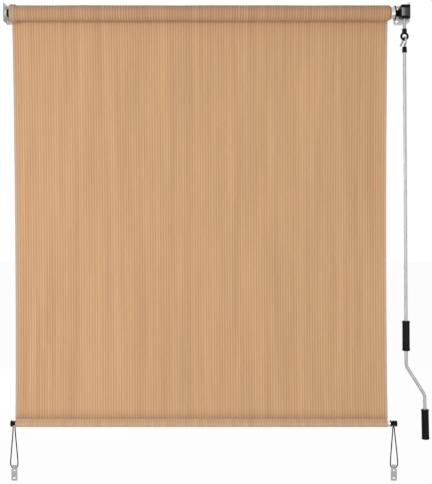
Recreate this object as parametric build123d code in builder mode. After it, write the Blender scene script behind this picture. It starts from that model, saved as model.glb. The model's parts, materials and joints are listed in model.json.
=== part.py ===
from build123d import *
import math
import os

# Outdoor roller shade with a crank gear, in millimetres.
# +X is right, -Y is the side that faces the room, +Z is up, and the wall is the plane y = 0.
# The origin is the middle of the four wall holes, at the height of the roller's axis.

# Wall brackets
bracket_height = 62.0
bracket_depth = 70.0
bracket_sheet = 2.5
bracket_bend = 4.0  # outer radius of the bend
bracket_corner = 8.0
flange_width = 38.0  # along the wall, from the side plate's inner face
wall_hole_spacing = 40.0
wall_hole_diameter = 7.0
wall_hole_inset = 27.0  # from the side plate's inner face

# Roller
roller_from_wall = 42.0
tube_diameter = 38.0
tube_wall = 1.2
groove_width = 7.0
groove_depth = 4.5
left_plug_boss = 26.0  # diameter
left_plug_shank = 36.0  # length inside the tube
right_plug_shank = 40.0
left_plug_shoulder = 9.9  # length between the washer and the roll
left_plug_lip = 4.0  # how far the tube starts inside the roll
plug_flange_diameter = 47.0
plug_flange = 2.5  # thickness
plug_flange_taper = 1.0
plug_cone = 6.0  # length
plug_cone_diameter = 30.0
plug_nose_diameter = 18.0
tube_bare = 12.1  # from the roll's right end to the tube's
journal_gap = 1.5  # from the right plug to the casing's boss
idler_pin_diameter = 10.0
idler_head_diameter = 16.0
idler_head = 3.0
washer_diameter = 24.0
washer_thickness = 7.0
spigot_width = 9.0

# Cloth
fabric_width = 1200.0
roll_diameter = 50.0
roll_turn = 1.0  # one turn's thickness where the roll's ends show
roll_right_overhang = 4.5
roll_taper = 4.0  # how far the steps reach in over the cloth
fabric_thickness = 0.8  # without its ribs
rib_height = 0.4
rib_count = 140
side_pull_in = 11.4  # how far the left edge runs in towards the hem
edge_bow = 4.0  # how far each side edge bows in between roll and hem
hem_band = 45.0  # height of the doubled cloth above the hem's seam
hem_band_thickness = 0.6
strip_margin = 5.0
strip_step = 1.0  # the strip lies this much below the tube's outside

# Bottom bar
hem_drop = 1306.0  # from the roller's axis down to the bar's axis
hem_bar_diameter = 18.0
hem_bar_wall = 1.2
hem_bar_left = 17.9  # from the cloth's upper left corner to the bar's left end
hem_bar_overhang = 7.8  # past the cloth's right edge
pocket_bore = 20.4  # inside diameter of the sewn pocket
pocket_wall = 0.9
pocket_inset = 1.0  # from each side edge of the cloth
seam_rise = 14.5  # from the bar's axis up to the seam
cap_diameter = 20.0
cap_length = 22.0
cap_rim = 4.5
cap_cone = 2.5
cap_groove_diameter = 12.0
cap_shank = 16.0

# Elastic loops and their clips
cord_diameter = 3.6
cord_lay = 2.1  # each strand's distance from the middle of the cap's groove
strand_drop = 133.0  # from the bar's axis to where the strands turn in
loop_drop = 143.0  # from the bar's axis to the loop's lowest run
clip_drop = 131.2  # from the bar's axis to the clip's top edge
clip_sway = 1.2
clip_width = 19.0
clip_height = 51.0
clip_sheet = 1.5
clip_head = 14.0  # width
clip_neck = 9.0  # width
clip_notch_top = 4.5
clip_notch_bottom = 12.5
clip_screw_hole = 5.5
clip_screw_drop = 18.0
clip_slot_drop = 42.5
clip_slot_length = 9.0
clip_slot_width = 4.0

# Crank gear
gear_module = 2.0
worm_starts = 3
wheel_teeth = 12
worm_pitch_radius = 8.0
pressure_angle = 25.0
addendum = 0.8  # in modules
dedendum = 1.0
tooth_play = 0.35  # taken off each tooth's thickness
wheel_face = 8.0
worm_length = 26.0
worm_hub_radius = 5.9
worm_upper_hub = 4.5
worm_lower_hub = 3.5
journal_radius = 8.0
housing_width = 24.0
housing_height = 43.0
housing_wall = 3.3
housing_boss = 5.2
housing_boss_radius = 15.0
housing_boss_tip = 10.5
housing_edge = 2.5
gear_room = 0.6  # between the moving gears and the casing
cover_thickness = 3.0
bush_height = 4.5
plate_width = 22.5
plate_height = 25.0
plate_thickness = 1.5
plate_drop = 1.6
screw_diameter = 4.0
screw_head_diameter = 8.0
screw_head = 3.0
screw_depth = 9.0  # into the casing
screw_back = 6.5  # from the roller's axis towards the room
screw_rise = 17.0
screw_point_gap = 1.0

# Eye and its shaft
shaft_diameter = 10.0
shaft_core = 7.0  # diameter inside the worm
shaft_drop = 64.0  # from the roller's axis to the shaft's lower end
shaft_pin_diameter = 2.5
eye_pin_drop = 59.0
neck_diameter = 15.0
neck_top = 53.0
eye_ring_radius = 10.0  # to the middle of the ring's bar
eye_bar_diameter = 7.0
eye_drop = 77.0  # from the roller's axis to the ring's centre

# Crank, hanging from the ring's lowest point
crank_lean = 0.3  # degrees to the right
wire_diameter = 6.0
hook_turn = 16.0  # degrees between the hook's plane and the wall's normal
hook_radius = 8.6
hook_shank_end = 40.0
hook_jog_low = 21.0
hook_jog_high = 10.0
hook_tip_bend = 3.0
hook_tip_reach = (-8.7, 1.5, -17.5)
hook_jog_radius = 7.0
wire_slack = 0.05  # keeps a short straight on top of the hook
ferrule_top = 23.0
ferrule_length = 18.0
ferrule_diameter = 14.0
ferrule_foot = 15.6
rod_diameter = 10.5
rod_wall = 1.2
rod_top = 30.0
rod_bend_upper = 1026.0
rod_bend_lower = 1118.0
crank_throw = 57.5
rod_bend_radius = 32.0
lower_arm_flare = 0.9  # degrees
grip_diameter = 23.0
grip_collar = 0.7  # how far the grips' ends stand out
grip_collar_length = 7.0
grip_length = 94.0
upper_grip_top = 884.5
lower_grip_arm = 45.0  # from the lower bend to the lower grip
grip_floor = 4.0
bead_diameter = 12.5
bead_length = 5.0

# Clearances
slide_gap = 0.3  # between soft or curved neighbours that move past each other
running_gap = 0.06  # all round a shaft in its bore
seat_gap = 0.1  # all round a piece pushed into another
end_gap = 0.3  # along a shaft

os.makedirs("parts", exist_ok=True)

# Places worked out from the driving dimensions
left_end_gap = washer_thickness + end_gap + left_plug_shoulder
tube_end_gap = plug_flange + plug_cone + journal_gap + housing_boss + housing_width + cover_thickness
right_end_gap = roll_right_overhang + tube_bare + tube_end_gap
side_x = (left_end_gap + fabric_width + right_end_gap) / 2
roller_y = -roller_from_wall
tube_radius = tube_diameter / 2
tube_bore = tube_radius - tube_wall
roll_radius = roll_diameter / 2
wheel_pitch_radius = gear_module * wheel_teeth / 2
wheel_tip = wheel_pitch_radius + addendum * gear_module
wheel_root = wheel_pitch_radius - dedendum * gear_module
worm_tip = worm_pitch_radius + addendum * gear_module
worm_root = worm_pitch_radius - dedendum * gear_module
worm_pitch = math.pi * gear_module
worm_lead = worm_starts * worm_pitch
eye_y = roller_y - wheel_pitch_radius - worm_pitch_radius
housing_right = side_x - cover_thickness
housing_left = housing_right - housing_width
eye_x = housing_right - housing_width / 2
housing_half = housing_height / 2
housing_front = eye_y - worm_tip - gear_room - housing_wall
journal_end = housing_left - housing_boss - journal_gap
tube_right = journal_end - plug_cone - plug_flange
fabric_left = left_end_gap - side_x
fabric_right = fabric_left + fabric_width
roll_right = fabric_right + roll_right_overhang
tube_left = fabric_left + left_plug_lip
sheet_front = roller_y + roll_radius + slide_gap
sheet_back = sheet_front + rib_height + fabric_thickness
hem_y = (sheet_front + sheet_back) / 2
seam_z = seam_rise - hem_drop
sheet_bottom = seam_z + slide_gap
bar_left = fabric_left + hem_bar_left
bar_right = fabric_right + hem_bar_overhang
lower_left = fabric_left + side_pull_in
pocket_left = lower_left + pocket_inset
pocket_length = fabric_right - pocket_inset - pocket_left
pivot_z = -eye_drop - eye_ring_radius
tangent = math.tan(math.radians(pressure_angle))


def write(node, label):
    node.part.label = label
    export_step(node.part, f"parts/{label}.step")


# Wall brackets: one stamping and its mirror image
bracket_reach = side_x + bracket_sheet
with BuildPart() as right_wall_bracket:
    with BuildSketch(Plane.XY.offset(-bracket_height / 2)):
        with Locations((side_x, -bracket_depth)):
            Rectangle(bracket_sheet, bracket_depth, align=(Align.MIN, Align.MIN))
        with Locations((bracket_reach, 0)):
            Rectangle(bracket_sheet + flange_width, bracket_sheet, align=(Align.MAX, Align.MAX))
    extrude(amount=bracket_height)
    bend = right_wall_bracket.edges().filter_by(Axis.Z).sort_by_distance((bracket_reach, 0, 0))[0]
    fillet(bend, bracket_bend)
    front_corners = right_wall_bracket.edges().filter_by(Axis.X).group_by(Axis.Y)[0]
    fillet(front_corners, bracket_corner)
    flange_corners = right_wall_bracket.edges().filter_by(Axis.Y).group_by(Axis.X)[0]
    fillet(flange_corners, bracket_corner / 2)
    with BuildSketch(Plane.XZ):
        with Locations((side_x - wall_hole_inset, 0)):
            with GridLocations(0, wall_hole_spacing, 1, 2):
                Circle(wall_hole_diameter / 2)
    extrude(amount=bracket_sheet, mode=Mode.SUBTRACT)
    with BuildSketch(Plane.YZ.offset(side_x)):
        with Locations((roller_y, 0)):
            Circle(idler_pin_diameter / 2)
        with Locations((roller_y - screw_back, screw_rise), (roller_y - screw_back, -screw_rise)):
            Circle(screw_diameter / 2)
    extrude(amount=bracket_sheet, mode=Mode.SUBTRACT)
write(right_wall_bracket, "right_wall_bracket")

with BuildPart() as left_wall_bracket:
    mirror(right_wall_bracket.part, about=Plane.YZ)
write(left_wall_bracket, "left_wall_bracket")

# Idler end: the pin is riveted in the side plate, the plug turns on it
washer_right = washer_thickness - side_x
boss_left = washer_right + end_gap
idler_pin_end = tube_left + left_plug_shank / 2
with BuildPart() as idler_pin:
    with BuildSketch(Plane.YZ.offset(-bracket_reach)):
        with Locations((roller_y, 0)):
            Circle(idler_pin_diameter / 2)
    extrude(amount=idler_pin_end + bracket_reach)
    chamfer(idler_pin.edges().sort_by(Axis.X)[-1], 1.0)
    with BuildSketch(Plane.YZ.offset(-bracket_reach)):
        with Locations((roller_y, 0)):
            Circle(idler_head_diameter / 2)
    extrude(amount=-idler_head)
    fillet(idler_pin.edges().sort_by(Axis.X)[0], idler_head / 2)
write(idler_pin, "idler_pin")

with BuildPart() as idler_washer:
    with BuildSketch(Plane.YZ.offset(-side_x)):
        with Locations((roller_y, 0)):
            Circle(washer_diameter / 2)
            Circle(idler_pin_diameter / 2 + seat_gap, mode=Mode.SUBTRACT)
    extrude(amount=washer_thickness)
write(idler_washer, "idler_washer")

# Roller tube, rolled from sheet with a groove along its top for the cloth
with BuildPart() as roller_tube:
    with BuildSketch(Plane.YZ.offset(tube_left)):
        with Locations((roller_y, 0)):
            Circle(tube_radius)
        with Locations((roller_y, tube_radius - groove_depth)):
            Rectangle(groove_width, tube_radius, align=(Align.CENTER, Align.MIN), mode=Mode.SUBTRACT)
        offset(amount=-tube_wall, mode=Mode.SUBTRACT)
    extrude(amount=tube_right - tube_left)
write(roller_tube, "roller_tube")

# What a plug's shank needs to slide in past the tube's groove
keyway_width = groove_width + 2 * tube_wall + 2 * seat_gap
keyway_floor = tube_radius - groove_depth - tube_wall - seat_gap

with BuildPart() as left_end_plug:
    with BuildSketch(Plane.YZ.offset(tube_left)):
        with Locations((roller_y, 0)):
            Circle(tube_bore - seat_gap)
        with Locations((roller_y, keyway_floor)):
            Rectangle(keyway_width, tube_radius, align=(Align.CENTER, Align.MIN), mode=Mode.SUBTRACT)
    extrude(amount=left_plug_shank)
    with BuildSketch(Plane.YZ.offset(tube_left)):
        with Locations((roller_y, 0)):
            Circle(tube_radius)
    extrude(amount=fabric_left - tube_left)
    with BuildSketch(Plane.YZ.offset(fabric_left)):
        with Locations((roller_y, 0)):
            Circle(left_plug_boss / 2)
    extrude(amount=boss_left - fabric_left)
    fillet(left_end_plug.edges().sort_by(Axis.X)[0], 1.5)
    with BuildSketch(Plane.YZ.offset(boss_left)):
        with Locations((roller_y, 0)):
            Circle(idler_pin_diameter / 2 + running_gap)
    extrude(amount=idler_pin_end + end_gap - boss_left, mode=Mode.SUBTRACT)
write(left_end_plug, "left_end_plug")

with BuildPart() as right_end_plug:
    with BuildSketch(Plane.YZ.offset(tube_right)):
        with Locations((roller_y, 0)):
            Circle(tube_bore - seat_gap)
        with Locations((roller_y, keyway_floor)):
            Rectangle(keyway_width, tube_radius, align=(Align.CENTER, Align.MIN), mode=Mode.SUBTRACT)
    extrude(amount=-right_plug_shank)
    with BuildSketch(Plane.XY):
        with BuildLine():
            Polyline(
                (tube_right, roller_y),
                (tube_right, roller_y + plug_flange_diameter / 2),
                (tube_right + plug_flange, roller_y + plug_flange_diameter / 2 - plug_flange_taper),
                (tube_right + plug_flange, roller_y + plug_cone_diameter / 2),
                (journal_end, roller_y + plug_nose_diameter / 2),
                (journal_end, roller_y),
                close=True,
            )
        make_face()
    revolve(axis=Axis((0, roller_y, 0), (1, 0, 0)))
    with BuildSketch(Plane.YZ.offset(journal_end)):
        with Locations((roller_y, 0)):
            Rectangle(spigot_width, spigot_width)
    extrude(amount=-(right_plug_shank + plug_flange + plug_cone), mode=Mode.SUBTRACT)
write(right_end_plug, "right_end_plug")

spigot_left = tube_right - 0.75 * right_plug_shank
with BuildPart() as drive_spigot:
    with BuildSketch(Plane.YZ.offset(spigot_left)):
        with Locations((roller_y, 0)):
            Rectangle(spigot_width, spigot_width)
    extrude(amount=housing_right + cover_thickness - end_gap - spigot_left)
    chamfer(drive_spigot.faces().sort_by(Axis.X)[0].edges(), 1.0)
write(drive_spigot, "drive_spigot")

with BuildPart() as fabric_strip:
    with BuildSketch(Plane.YZ.offset(fabric_left + strip_margin)) as strip_profile:
        with Locations((roller_y, tube_radius - groove_depth)):
            Rectangle(groove_width - 2 * seat_gap, groove_depth - strip_step, align=(Align.CENTER, Align.MIN))
        fillet(strip_profile.vertices(), 1)
    extrude(amount=fabric_width - 2 * strip_margin)
write(fabric_strip, "fabric_strip")

# The cloth left on the tube; its last turns show as steps at the right end
roll_steps = int((roll_radius - tube_radius) / roll_turn) - 1
step_length = (roll_right_overhang + roll_taper) / max(roll_steps, 1)
roll_profile = [(fabric_left, tube_radius + seat_gap), (fabric_left, roll_radius)]
for step in range(roll_steps):
    step_x = roll_right - (roll_steps - step) * step_length
    roll_profile += [(step_x, roll_radius - step * roll_turn)]
    roll_profile += [(step_x, roll_radius - (step + 1) * roll_turn)]
roll_profile += [(roll_right, roll_radius - roll_steps * roll_turn)]
roll_profile += [(roll_right, tube_radius + seat_gap)]
with BuildPart() as fabric_roll:
    with BuildSketch(Plane.XZ.offset(roller_from_wall)):
        with BuildLine():
            Polyline(*roll_profile, close=True)
        make_face()
    revolve(axis=Axis((0, roller_y, 0), (1, 0, 0)))
write(fabric_roll, "fabric_roll")

# The hanging cloth: a ribbed slab, cut to the outline of its two bowed edges
rib_pitch = fabric_width / rib_count
rib_root = sheet_front + rib_height
rib_points = []
for rib in range(rib_count):
    rib_points += [(fabric_left + rib * rib_pitch, rib_root)]
    rib_points += [(fabric_left + (rib + 0.5) * rib_pitch, sheet_front)]
rib_points += [(fabric_right, rib_root), (fabric_right, sheet_back), (fabric_left, sheet_back)]
with BuildPart() as fabric_sheet:
    with BuildSketch(Plane.XY):
        with BuildLine():
            Polyline(*rib_points, close=True)
        make_face()
    extrude(amount=sheet_bottom)
    with BuildSketch(Plane.XZ):
        with BuildLine():
            Line((fabric_left, 0), (fabric_right, 0))
            ThreePointArc(
                (fabric_right, 0), (fabric_right - edge_bow, sheet_bottom / 2), (fabric_right, sheet_bottom)
            )
            Line((fabric_right, sheet_bottom), (lower_left, sheet_bottom))
            ThreePointArc(
                (lower_left, sheet_bottom),
                (fabric_left + side_pull_in / 2 + edge_bow, sheet_bottom / 2),
                (fabric_left, 0),
            )
        make_face()
    extrude(amount=roller_from_wall, mode=Mode.INTERSECT)
    with BuildSketch(Plane.XZ.offset(-sheet_back)):
        with Locations((pocket_left, sheet_bottom)):
            Rectangle(pocket_length, hem_band, align=(Align.MIN, Align.MIN))
    extrude(amount=-hem_band_thickness)
write(fabric_sheet, "fabric_sheet")

# Hem pocket: the cloth passes round the bar and is sewn together above it
pocket_radius = pocket_bore / 2 + pocket_wall
seam_half = fabric_thickness
with BuildPart() as hem_sleeve:
    with BuildSketch(Plane.YZ.offset(pocket_left)):
        with Locations((hem_y, -hem_drop)):
            Circle(pocket_radius)
        with Locations((hem_y, seam_z)):
            Rectangle(2 * seam_half, seam_rise, align=(Align.CENTER, Align.MAX))
        make_hull()
        with Locations((hem_y, -hem_drop)):
            Circle(pocket_bore / 2, mode=Mode.SUBTRACT)
    extrude(amount=pocket_length)
write(hem_sleeve, "hem_sleeve")

with BuildPart() as hem_bar:
    with BuildSketch(Plane.YZ.offset(bar_left)):
        with Locations((hem_y, -hem_drop)):
            Circle(hem_bar_diameter / 2)
            Circle(hem_bar_diameter / 2 - hem_bar_wall, mode=Mode.SUBTRACT)
    extrude(amount=bar_right - bar_left)
write(hem_bar, "hem_bar")

# End caps: spools with a groove for the elastic loop and a shank in the bar
groove_flat = cap_length - 2 * cap_rim - 2 * cap_cone


def spool(bar_end, outward):
    """A cap that stands outward (1 or -1) of the bar's end."""
    with BuildPart() as cap:
        with BuildSketch(Plane.XY):
            with BuildLine():
                groove_start = cap_rim + cap_cone
                rim = hem_y + cap_diameter / 2
                floor = hem_y + cap_groove_diameter / 2
                Polyline(
                    (bar_end, hem_y),
                    (bar_end, rim),
                    (bar_end + outward * cap_rim, rim),
                    (bar_end + outward * groove_start, floor),
                    (bar_end + outward * (groove_start + groove_flat), floor),
                    (bar_end + outward * (cap_length - cap_rim), rim),
                    (bar_end + outward * cap_length, rim),
                    (bar_end + outward * cap_length, hem_y),
                    close=True,
                )
            make_face()
        revolve(axis=Axis((0, hem_y, 0), (1, 0, 0)))
        outer_rim = cap.edges().filter_by(GeomType.CIRCLE).sort_by(Axis.X)[-1 if outward > 0 else 0]
        fillet(outer_rim, cap_rim / 2)
        with BuildSketch(Plane.YZ.offset(bar_end)):
            with Locations((hem_y, 0)):
                Circle(hem_bar_diameter / 2 - hem_bar_wall - seat_gap)
        extrude(amount=-outward * cap_shank)
    return Pos(0, 0, -hem_drop) * cap.part


with BuildPart() as left_hem_cap:
    add(spool(bar_left, -1))
write(left_hem_cap, "left_hem_cap")

with BuildPart() as right_hem_cap:
    add(spool(bar_right, 1))
write(right_hem_cap, "right_hem_cap")

# Elastic loops: over the cap's groove, down both sides, and through the clip's notches
wrap_radius = (cap_groove_diameter + cord_diameter) / 2 + slide_gap
groove_reach = cap_rim + cap_cone + groove_flat / 2


def loop_route(groove_x):
    """The loop's points as x, y, z offsets from the groove's middle on the bar's axis."""
    offsets = [
        (-2.1, 1.0, 8.1),
        (-2.2, -8.4, 8.1),
        (-10.8, -3.3, -strand_drop),
        (-4.2, 3.6, -loop_drop),
        (6.6, 3.6, -loop_drop),
        (13.2, -3.3, -strand_drop),
        (2.2, 8.8, 8.1),
        (2.1, -1.0, 8.1),
    ]
    return [Vector(groove_x + x, hem_y + y, z - hem_drop) for x, y, z in offsets]


def corner_radii(points, first_and_last):
    """As large an arc at each corner as its two runs allow; the cap's own size at the ends."""
    radii = []
    for before, corner, after in zip(points, points[1:], points[2:]):
        run_in = corner - before
        run_out = after - corner
        half_turn = math.radians(run_in.get_angle(run_out)) / 2
        radii.append(0.45 * min(run_in.length, run_out.length) / math.tan(half_turn))
    radii[0] = first_and_last
    radii[-1] = first_and_last
    return radii


def loop(groove_x):
    points = loop_route(groove_x)
    radii = corner_radii(points, wrap_radius)
    print("loop radii", [round(r, 1) for r in radii])
    with BuildPart() as band:
        with BuildLine() as route:
            FilletPolyline(*points, radius=radii)
        with BuildSketch(Plane(origin=route.wire() @ 0, z_dir=route.wire() % 0)):
            Circle(cord_diameter / 2)
        sweep(path=route.wire())
    return band.part


left_groove = bar_left - groove_reach
right_groove = bar_right + groove_reach

with BuildPart() as left_elastic_loop:
    add(loop(left_groove))
write(left_elastic_loop, "left_elastic_loop")

with BuildPart() as right_elastic_loop:
    add(loop(right_groove))
write(right_elastic_loop, "right_elastic_loop")


def clip(groove_x):
    """A flat clip with a T-shaped head that the loop carries."""
    top = -hem_drop - clip_drop
    middle = groove_x + clip_sway
    with BuildPart() as plate:
        with BuildSketch(Plane.XZ.offset(-hem_y - clip_sheet / 2)):
            with Locations((middle, top)):
                Rectangle(clip_head, clip_notch_top, align=(Align.CENTER, Align.MAX))
                Rectangle(clip_neck, clip_notch_bottom + 1, align=(Align.CENTER, Align.MAX))
            with Locations((middle, top - clip_notch_bottom)):
                Rectangle(clip_width, clip_height - clip_notch_bottom, align=(Align.CENTER, Align.MAX))
            with Locations((middle, top - clip_screw_drop)):
                Circle(clip_screw_hole / 2, mode=Mode.SUBTRACT)
            with Locations((middle, top - clip_slot_drop)):
                SlotOverall(clip_slot_length, clip_slot_width, mode=Mode.SUBTRACT)
        extrude(amount=clip_sheet)
        uprights = plate.edges().filter_by(Axis.Y)
        fillet(uprights.group_by(Axis.Z)[-1], 1.5)
        fillet(plate.edges().filter_by(Axis.Y).group_by(Axis.Z)[0], 2.5)
    return plate.part


with BuildPart() as left_tie_clip:
    add(clip(left_groove))
write(left_tie_clip, "left_tie_clip")

with BuildPart() as right_tie_clip:
    add(clip(right_groove))
write(right_tie_clip, "right_tie_clip")

# Gear casing: a block in front for the worm, drawn back round the wheel
wheel_cavity = wheel_tip + gear_room
worm_cavity = worm_tip + gear_room
block_depth = housing_wall + 2 * worm_cavity + housing_wall
with BuildPart() as gear_housing:
    with BuildSketch(Plane.YZ.offset(housing_left)):
        with Locations((housing_front, 0)):
            Rectangle(block_depth, housing_height, align=(Align.MIN, Align.CENTER))
        with Locations((roller_y, 0)):
            Circle(wheel_cavity + housing_wall)
        make_hull()
    extrude(amount=housing_width)
    front_edges = gear_housing.faces().sort_by(Axis.Y)[0].edges()
    fillet(front_edges.filter_by(Axis.X), housing_edge)
    left_face = gear_housing.faces().sort_by(Axis.X)[0]
    chamfer(left_face.edges(), 1.0)
    with BuildSketch(Plane.XZ.offset(roller_from_wall)):
        with BuildLine():
            Polyline(
                (housing_left, 0),
                (housing_left, housing_boss_radius),
                (housing_left - housing_boss, housing_boss_tip),
                (housing_left - housing_boss, 0),
                close=True,
            )
        make_face()
    revolve(axis=Axis((0, roller_y, 0), (1, 0, 0)))
    with BuildSketch(Plane.YZ.offset(housing_right)):
        with Locations((roller_y, 0)):
            Circle(wheel_cavity)
    extrude(amount=housing_wall - housing_width, mode=Mode.SUBTRACT)
    with BuildSketch(Plane.YZ.offset(housing_right)):
        with Locations((roller_y, 0)):
            Circle(journal_radius + running_gap)
    extrude(amount=-(housing_width + housing_boss), mode=Mode.SUBTRACT)
    with BuildSketch(Plane.XY.offset(-housing_half)):
        with Locations((eye_x, eye_y)):
            Circle(worm_cavity)
    extrude(amount=housing_height - housing_wall, mode=Mode.SUBTRACT)
    with BuildSketch(Plane.YZ.offset(housing_right)):
        with Locations((roller_y - screw_back, screw_rise), (roller_y - screw_back, -screw_rise)):
            Circle(screw_diameter / 2)
    extrude(amount=-screw_depth, mode=Mode.SUBTRACT)
write(gear_housing, "gear_housing")

with BuildPart() as gear_cover:
    with BuildSketch(Plane.YZ.offset(housing_right)):
        with Locations((housing_front, 0)):
            Rectangle(block_depth, housing_height, align=(Align.MIN, Align.CENTER))
        with Locations((roller_y, 0)):
            Circle(wheel_cavity + housing_wall)
        make_hull()
        with Locations((roller_y, 0)):
            Circle(journal_radius + running_gap, mode=Mode.SUBTRACT)
        with Locations((roller_y - screw_back, screw_rise), (roller_y - screw_back, -screw_rise)):
            Circle(screw_diameter / 2, mode=Mode.SUBTRACT)
    extrude(amount=cover_thickness)
    cover_front = gear_cover.faces().sort_by(Axis.Y)[0].edges()
    fillet(cover_front.filter_by(Axis.X), housing_edge)
write(gear_cover, "gear_cover")

with BuildPart() as gear_front_plate:
    with BuildSketch(Plane.XZ.offset(-housing_front)):
        with Locations((eye_x, -plate_drop)):
            Rectangle(plate_width, plate_height)
    extrude(amount=plate_thickness)
    chamfer(gear_front_plate.faces().sort_by(Axis.Y)[0].edges(), 0.6)
write(gear_front_plate, "gear_front_plate")

with BuildPart() as gear_screws:
    with BuildSketch(Plane.YZ.offset(bracket_reach)):
        with Locations((roller_y - screw_back, screw_rise), (roller_y - screw_back, -screw_rise)):
            Circle(screw_diameter / 2)
    extrude(amount=-(bracket_sheet + cover_thickness + screw_depth - screw_point_gap))
    with BuildSketch(Plane.YZ.offset(bracket_reach)):
        with Locations((roller_y - screw_back, screw_rise), (roller_y - screw_back, -screw_rise)):
            Circle(screw_head_diameter / 2)
    extrude(amount=screw_head)
    fillet(gear_screws.edges().group_by(Axis.X)[-1], screw_head / 3)
    with BuildSketch(Plane.YZ.offset(bracket_reach + screw_head)):
        with Locations((roller_y - screw_back, screw_rise), (roller_y - screw_back, -screw_rise)):
            RegularPolygon(screw_diameter / 2, 6)
    extrude(amount=-screw_head / 2, mode=Mode.SUBTRACT)
write(gear_screws, "gear_screws")

with BuildPart() as worm_bush:
    with BuildSketch(Plane.XY.offset(-housing_half)):
        with Locations((eye_x, eye_y)):
            Circle(worm_cavity)
            Circle(shaft_diameter / 2 + running_gap, mode=Mode.SUBTRACT)
    extrude(amount=bush_height)
write(worm_bush, "worm_bush")

# Worm: the cross-section of its three starts, turned as it rises
crest = worm_pitch / 2 - 2 * addendum * gear_module * tangent - tooth_play
foot = worm_pitch / 2 + 2 * dedendum * gear_module * tangent - tooth_play
crest_half = 180 * crest / worm_lead
foot_half = 180 * foot / worm_lead
start_angle = 360 / worm_starts


def polar(*places):
    """Sketch points from pairs of a radius and an angle in degrees."""
    return [Vector(radius, 0).rotate(Axis.Z, angle) for radius, angle in places]


# A crest faces the wheel at the height of the wheel's axis
worm_bottom = -worm_length / 2
worm_turn = 360 * worm_length / worm_lead
with BuildSketch(Plane.XY.offset(worm_bottom)) as worm_section:
    with BuildLine():
        for start in range(worm_starts):
            at = 90 - worm_turn / 2 + start * start_angle
            mid_radius = (worm_root + worm_tip) / 2
            mid_half = (foot_half + crest_half) / 2
            root_middle = at + start_angle / 2
            next_foot = at + start_angle - foot_half
            rise = [(worm_root, at - foot_half), (mid_radius, at - mid_half), (worm_tip, at - crest_half)]
            top = [(worm_tip, at - crest_half), (worm_tip, at), (worm_tip, at + crest_half)]
            fall = [(worm_tip, at + crest_half), (mid_radius, at + mid_half), (worm_root, at + foot_half)]
            root = [(worm_root, at + foot_half), (worm_root, root_middle), (worm_root, next_foot)]
            for places in (rise, top, fall, root):
                ThreePointArc(*polar(*places))
    make_face()
worm_thread = Pos(eye_x, eye_y, 0) * Solid.extrude_linear_with_rotation(
    worm_section.sketch.face(), (0, 0, worm_bottom), (0, 0, worm_length), worm_turn
)
hub_top = worm_length / 2 + worm_upper_hub
hub_bottom = -worm_length / 2 - worm_lower_hub
pin_height = worm_length / 2 + worm_upper_hub / 2
with BuildPart() as worm:
    add(worm_thread)
    with BuildSketch(Plane.XY.offset(hub_bottom)):
        with Locations((eye_x, eye_y)):
            Circle(worm_hub_radius)
    extrude(amount=hub_top - hub_bottom)
    with BuildSketch(Plane.XY.offset(hub_bottom)):
        with Locations((eye_x, eye_y)):
            Circle(shaft_core / 2)
    extrude(amount=hub_top - hub_bottom, mode=Mode.SUBTRACT)
    with BuildSketch(Plane.YZ.offset(eye_x)):
        with Locations((eye_y, pin_height)):
            Circle(shaft_pin_diameter / 2)
    extrude(amount=worm_hub_radius, both=True, mode=Mode.SUBTRACT)
write(worm, "worm")

shaft_top = housing_half - housing_wall - end_gap
with BuildPart() as eye_shaft:
    with BuildSketch(Plane.XY.offset(-shaft_drop)):
        with Locations((eye_x, eye_y)):
            Circle(shaft_diameter / 2)
    extrude(amount=hub_bottom + shaft_drop)
    with BuildSketch(Plane.XY.offset(hub_bottom)):
        with Locations((eye_x, eye_y)):
            Circle(shaft_core / 2)
    extrude(amount=shaft_top - hub_bottom)
    with BuildSketch(Plane.YZ.offset(eye_x)):
        with Locations((eye_y, pin_height), (eye_y, -eye_pin_drop)):
            Circle(shaft_pin_diameter / 2)
    extrude(amount=shaft_diameter, both=True, mode=Mode.SUBTRACT)
write(eye_shaft, "eye_shaft")

with BuildPart() as worm_pin:
    with BuildSketch(Plane.YZ.offset(eye_x)):
        with Locations((eye_y, pin_height)):
            Circle(shaft_pin_diameter / 2)
    extrude(amount=worm_hub_radius - seat_gap, both=True)
write(worm_pin, "worm_pin")

# Worm wheel: the tooth outline turned across its face, on two journals
wheel_twist = math.degrees(worm_lead / (2 * math.pi * worm_pitch_radius) / wheel_pitch_radius)
base_radius = wheel_pitch_radius * math.cos(math.radians(pressure_angle))


def involute_roll(radius):
    """Degrees that an involute has turned from its base circle at a radius."""
    if radius <= base_radius:
        return 0.0
    unroll = math.sqrt((radius / base_radius) ** 2 - 1)
    return math.degrees(unroll - math.atan(unroll))


tooth_half = math.degrees((worm_pitch / 2 - tooth_play) / wheel_pitch_radius) / 2
base_half = tooth_half + involute_roll(wheel_pitch_radius)
flank_middle = (wheel_pitch_radius + wheel_tip) / 2


# A gap between two teeth faces the worm at the middle of the wheel's face
wheel_left = eye_x - wheel_face / 2
wheel_turn = wheel_face * wheel_twist
wheel_plane = Plane(origin=(wheel_left, roller_y, 0), x_dir=(0, 0, -1), z_dir=(1, 0, 0))
with BuildSketch() as wheel_section:
    with BuildLine():
        for tooth in range(wheel_teeth):
            at = -90 - wheel_turn / 2 + (tooth + 0.5) * 360 / wheel_teeth
            tip_half = base_half - involute_roll(wheel_tip)
            mid_half = base_half - involute_roll(flank_middle)
            flank_start = (base_radius, at - base_half)
            flank_end = (base_radius, at + base_half)
            tip_start = (wheel_tip, at - tip_half)
            tip_end = (wheel_tip, at + tip_half)
            Line(*polar((wheel_root, at - base_half), flank_start))
            ThreePointArc(*polar(flank_start, (flank_middle, at - mid_half), tip_start))
            Line(*polar(tip_start, tip_end))
            ThreePointArc(*polar(tip_end, (flank_middle, at + mid_half), flank_end))
            Line(*polar(flank_end, (wheel_root, at + base_half)))
            Line(*polar((wheel_root, at + base_half), (wheel_root, at + 360 / wheel_teeth - base_half)))
    make_face()
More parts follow.
